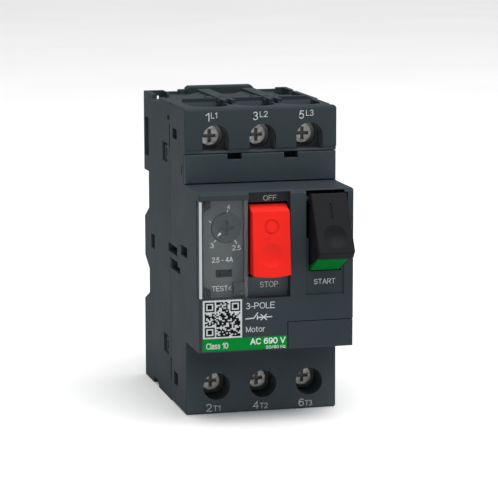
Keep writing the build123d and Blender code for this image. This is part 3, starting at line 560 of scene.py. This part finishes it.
def terminal_print():
    marks = Print("terminal_numbers", white_ink, "case", "case_plastic")
    upper = (("1", (-16.3, -15.2), "L1", (-14.75, -12.95)),
             ("3", (-2.4, -0.9), "L2", (-0.4, 1.95)),
             ("5", (11.25, 12.75), "L3", (13.35, 15.6)))
    for digit, digit_x, sign, sign_x in upper:
        marks.word(digit, digit_x, (85.45, 87.85), 0)
        marks.word(sign, sign_x, (86.25, 87.95), 0)
    lower = (("2", (-16.6, -14.85), "T1", (-14.45, -12.35)),
             ("4", (-2.55, -0.8), "T2", (-0.45, 1.9)),
             ("6", (11.25, 12.85), "T3", (13.2, 15.4)))
    for digit, digit_x, sign, sign_x in lower:
        marks.word(digit, digit_x, (0.75, 3.0), 0)
        marks.word(sign, sign_x, (0.75, 2.4), 0)
    marks.finish()


def button_print():
    marks = Print("button_words", white_ink, "case", "case_plastic")
    marks.word("OFF", (-3.2, 0.7), (64.25, 65.75), RECESS_Y)
    marks.word("STOP", (-4.2, 1.15), (39.45, 41.1), RECESS_Y)
    marks.word("START", (11.0, 17.3), (40.1, 41.6), LEGEND_Y)
    marks.finish()


def setting_print():
    marks = Print("scale_print", dial_ink, "case", "case_plastic")
    marks.word("4", (-13.8, -12.85), (62.25, 63.5), PANEL_Y)
    marks.word("3", (-18.7, -17.6), (51.4, 52.8), PANEL_Y)
    marks.word("2.5", (-12.3, -9.85), (50.5, 51.9), PANEL_Y)
    marks.word("2.5 - 4A", (-18.2, -12.1), (47.2, 48.7), PANEL_Y)
    marks.word("TEST<", (-18.25, -12.65), (39.0, 40.5), PANEL_Y)
    ticks = (((-13.69, 61.5), (-13.6, 62.0)),
             ((-18.94, 59.07), (-18.4, 58.67)),
             ((-17.05, 53.55), (-17.5, 53.1)),
             ((-11.6, 53.35), (-10.95, 52.4)))
    for tick in ticks:
        marks.line(tick, THIN_LINE, PANEL_Y)
    marks.finish()
    arrow = Print("dial_arrow", dial_ink, "dial", "dial_plastic")
    arrow.add([(-16.75, 54.6), (-15.5, 55.35), (-16.05, 55.8)], [[0, 1, 2]], DIAL_Y)
    arrow.finish()


def type_print():
    marks = Print("type_words", white_ink, "case", "case_plastic")
    marks.word("3-POLE", (-9.0, -0.6), (33.95, 35.75), RAISED_Y)
    marks.word("Motor", (-9.0, -3.5), (27.3, 28.95), RAISED_Y, 0.1)
    symbol = (((-9.0, 31.2), (-6.75, 31.3), (-5.6, 32.75)), ((-5.7, 31.45), (-1.55, 31.5)),
              ((-5.7, 30.95), (-5.7, 31.95)), ((-4.65, 30.75), (-3.05, 32.2)),
              ((-4.65, 32.2), (-3.05, 30.75)))
    marks.layer = 0
    for run in symbol:
        marks.line(run, SYMBOL_LINE, RAISED_Y)
    marks.finish()


def code_cells(cells):
    """Random cells with a ringed square in three corners; they hold no data."""
    filled_share = 0.57
    ring = 7
    draw = random.Random(7)
    filled = [[draw.random() < filled_share for _ in range(cells)] for _ in range(cells)]
    for corner_row, corner_column in ((0, 0), (0, cells - ring), (cells - ring, 0)):
        for row in range(-1, ring + 1):
            for column in range(-1, ring + 1):
                inside = 0 <= corner_row + row < cells and 0 <= corner_column + column < cells
                edge = max(abs(row - ring // 2), abs(column - ring // 2))
                if inside:
                    filled[corner_row + row][corner_column + column] = edge in (0, 1, 3)
    return filled


def code_label():
    """Light label with a square pattern."""
    label = Print("code_label", label_white, "case", "case_plastic")
    label.bar((-21.5, -10.15), (25.95, 36.9), RAISED_Y)
    label.finish()
    marks = Print("code_pattern", black_ink, "case", "case_plastic")
    cells = 25
    low_x, high_x, low_z, high_z = -20.95, -10.65, 26.4, 36.4
    step_x, step_z = (high_x - low_x) / cells, (high_z - low_z) / cells
    filled = code_cells(cells)
    front = RAISED_Y - INK
    for row in range(cells):
        top = high_z - row * step_z
        column = 0
        while column < cells:
            run = column
            while run < cells and filled[row][run]:
                run += 1
            if run > column:
                marks.bar((low_x + column * step_x, low_x + run * step_x), (top - step_z, top), front)
            column = max(run, column + 1)
    marks.finish()


def green_strip():
    """Green strip that turns round the lower edge of the raised front."""
    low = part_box("blanking_cover")[0].z
    edge = (low - FLOOR_Z) / MM
    top = 25.85
    profile = [(RAISED_Y - INK, top), (RAISED_Y - INK, edge + 0.5), (RAISED_Y + 0.48, edge - 0.02),
               (RAISED_Y + 0.5, edge + 0.1), (RAISED_Y + SUNK, edge + 0.55), (RAISED_Y + SUNK, top)]
    points = [at(x, y, z) for x in (-21.6, 2.95) for y, z in profile]
    count = len(profile)
    faces = [list(range(count)), list(range(2 * count - 1, count - 1, -1))]
    for index in range(count):
        following = (index + 1) % count
        faces.append([following, index, count + index, count + following])
    mesh = bpy.data.meshes.new("green_strip")
    mesh.from_pydata(points, [], faces)
    mesh.materials.append(green_ink)
    piece = add_object("green_strip", mesh)
    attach(piece, "case")
    marks = Print("strip_words", white_ink, "case", "case_plastic")
    front = RAISED_Y - INK
    marks.word("Class 10", (-20.6, -14.2), (22.95, 24.7), front, 0.13)
    marks.finish()
    marks = Print("strip_ratings", strip_ink, "case", "case_plastic")
    marks.word("AC 690 V", (-7.8, 2.5), (23.7, 25.5), front, 0.17)
    marks.word("50/60 Hz", (-3.2, 2.5), (22.3, 23.2), front, 0.14)
    marks.finish()


terminal_print()
button_print()
setting_print()
type_print()
code_label()
green_strip()


# ---------------------------------------------------------------- floor, light and camera
SKY_FRONT = 0.55  # strength of the light from low in front
SKY_BACK = 0.45  # and from low behind
SKY_LEFT = 0.12  # share of them that is left on the left side
SKY_TOP = 1.05  # strength of the light from overhead
FLOOR_SIZE = 30
YAW, PITCH, ROLL = (math.radians(angle) for angle in (-14.2415, 9.4247, -0.1057))
AIM = at(-3.6543, 0, 48.1363)
DISTANCE = 0.65906
FOCAL_LENGTH = 165.10185
SENSOR = 36


def studio():
    bpy.ops.mesh.primitive_plane_add(size=FLOOR_SIZE, location=(0, 0, FLOOR_Z))
    floor = bpy.context.object
    floor.name = "floor"
    surface = Surface("pale_floor")
    grain = surface.noise(8, 3)
    pale, paler = shade((0.9, 0.9, 0.9), 1.0), shade((0.93, 0.93, 0.93), 1.0)
    tone = surface.mix(surface.span(grain, (0.3, 0.7), (0, 1)), pale, paler)
    floor.data.materials.append(surface.done(Base_Color=tone, Roughness=0.9))


def sky():
    """Surroundings that are bright overhead, dim in front and dimmer to the left."""
    world = bpy.data.worlds.new("studio")
    world.use_nodes = True
    graph = Graph(world.node_tree)
    background = world.node_tree.nodes["Background"]

    def smooth(value, source, target):
        return graph.span(value, source, target, interpolation_type="SMOOTHSTEP")

    direction = graph.node("ShaderNodeTexCoord", {}, "Generated")
    x, y, z = (graph.node("ShaderNodeSeparateXYZ", {0: direction}, name) for name in "XYZ")
    horizon = smooth(y, (-0.6, 0.8), (SKY_FRONT, SKY_BACK))
    left = smooth(x, (-0.9, -0.1), (SKY_LEFT, 1.0))
    low = graph.math("MULTIPLY", horizon, left)
    rise = smooth(z, (0.15, 0.95), (0.0, 1.0))
    strength = graph.node("ShaderNodeMix", {0: rise, 2: low, 3: SKY_TOP}, data_type="FLOAT")
    graph.feed(background, {"Color": (1.0, 1.0, 1.0, 1), "Strength": strength})
    bpy.context.scene.world = world


def softbox(name, place, target, size, power):
    light = bpy.data.lights.new(name, "AREA")
    light.shape = "RECTANGLE"
    light.size, light.size_y = size
    light.energy = power
    lamp = add_object(name, light)
    lamp.location = place
    lamp.rotation_euler = (Vector(target) - Vector(place)).to_track_quat("-Z", "Y").to_euler()


def camera():
    """Camera at the viewing angle of the reference view."""
    back = Vector((math.sin(YAW) * math.cos(PITCH), -math.cos(YAW) * math.cos(PITCH), math.sin(PITCH)))
    right = (-back).cross(Vector((0, 0, 1))).normalized()
    up = right.cross(-back)
    turned_right = right * math.cos(ROLL) + up * math.sin(ROLL)
    turned_up = up * math.cos(ROLL) - right * math.sin(ROLL)
    turn = Matrix((turned_right, turned_up, back)).transposed()
    data = bpy.data.cameras.new("camera")
    data.sensor_width = SENSOR
    data.lens = FOCAL_LENGTH
    data.clip_start, data.clip_end = 0.05, 100
    eye = add_object("camera", data)
    eye.matrix_world = Matrix.Translation(AIM + back * DISTANCE) @ turn.to_4x4()
    bpy.context.scene.camera = eye


studio()
sky()
softbox("key", place=(0.15, -0.5, 1.3), target=(0, 0, 0), size=(1.3, 1.1), power=17.0)
camera()
bpy.context.scene.view_settings.view_transform = "Standard"
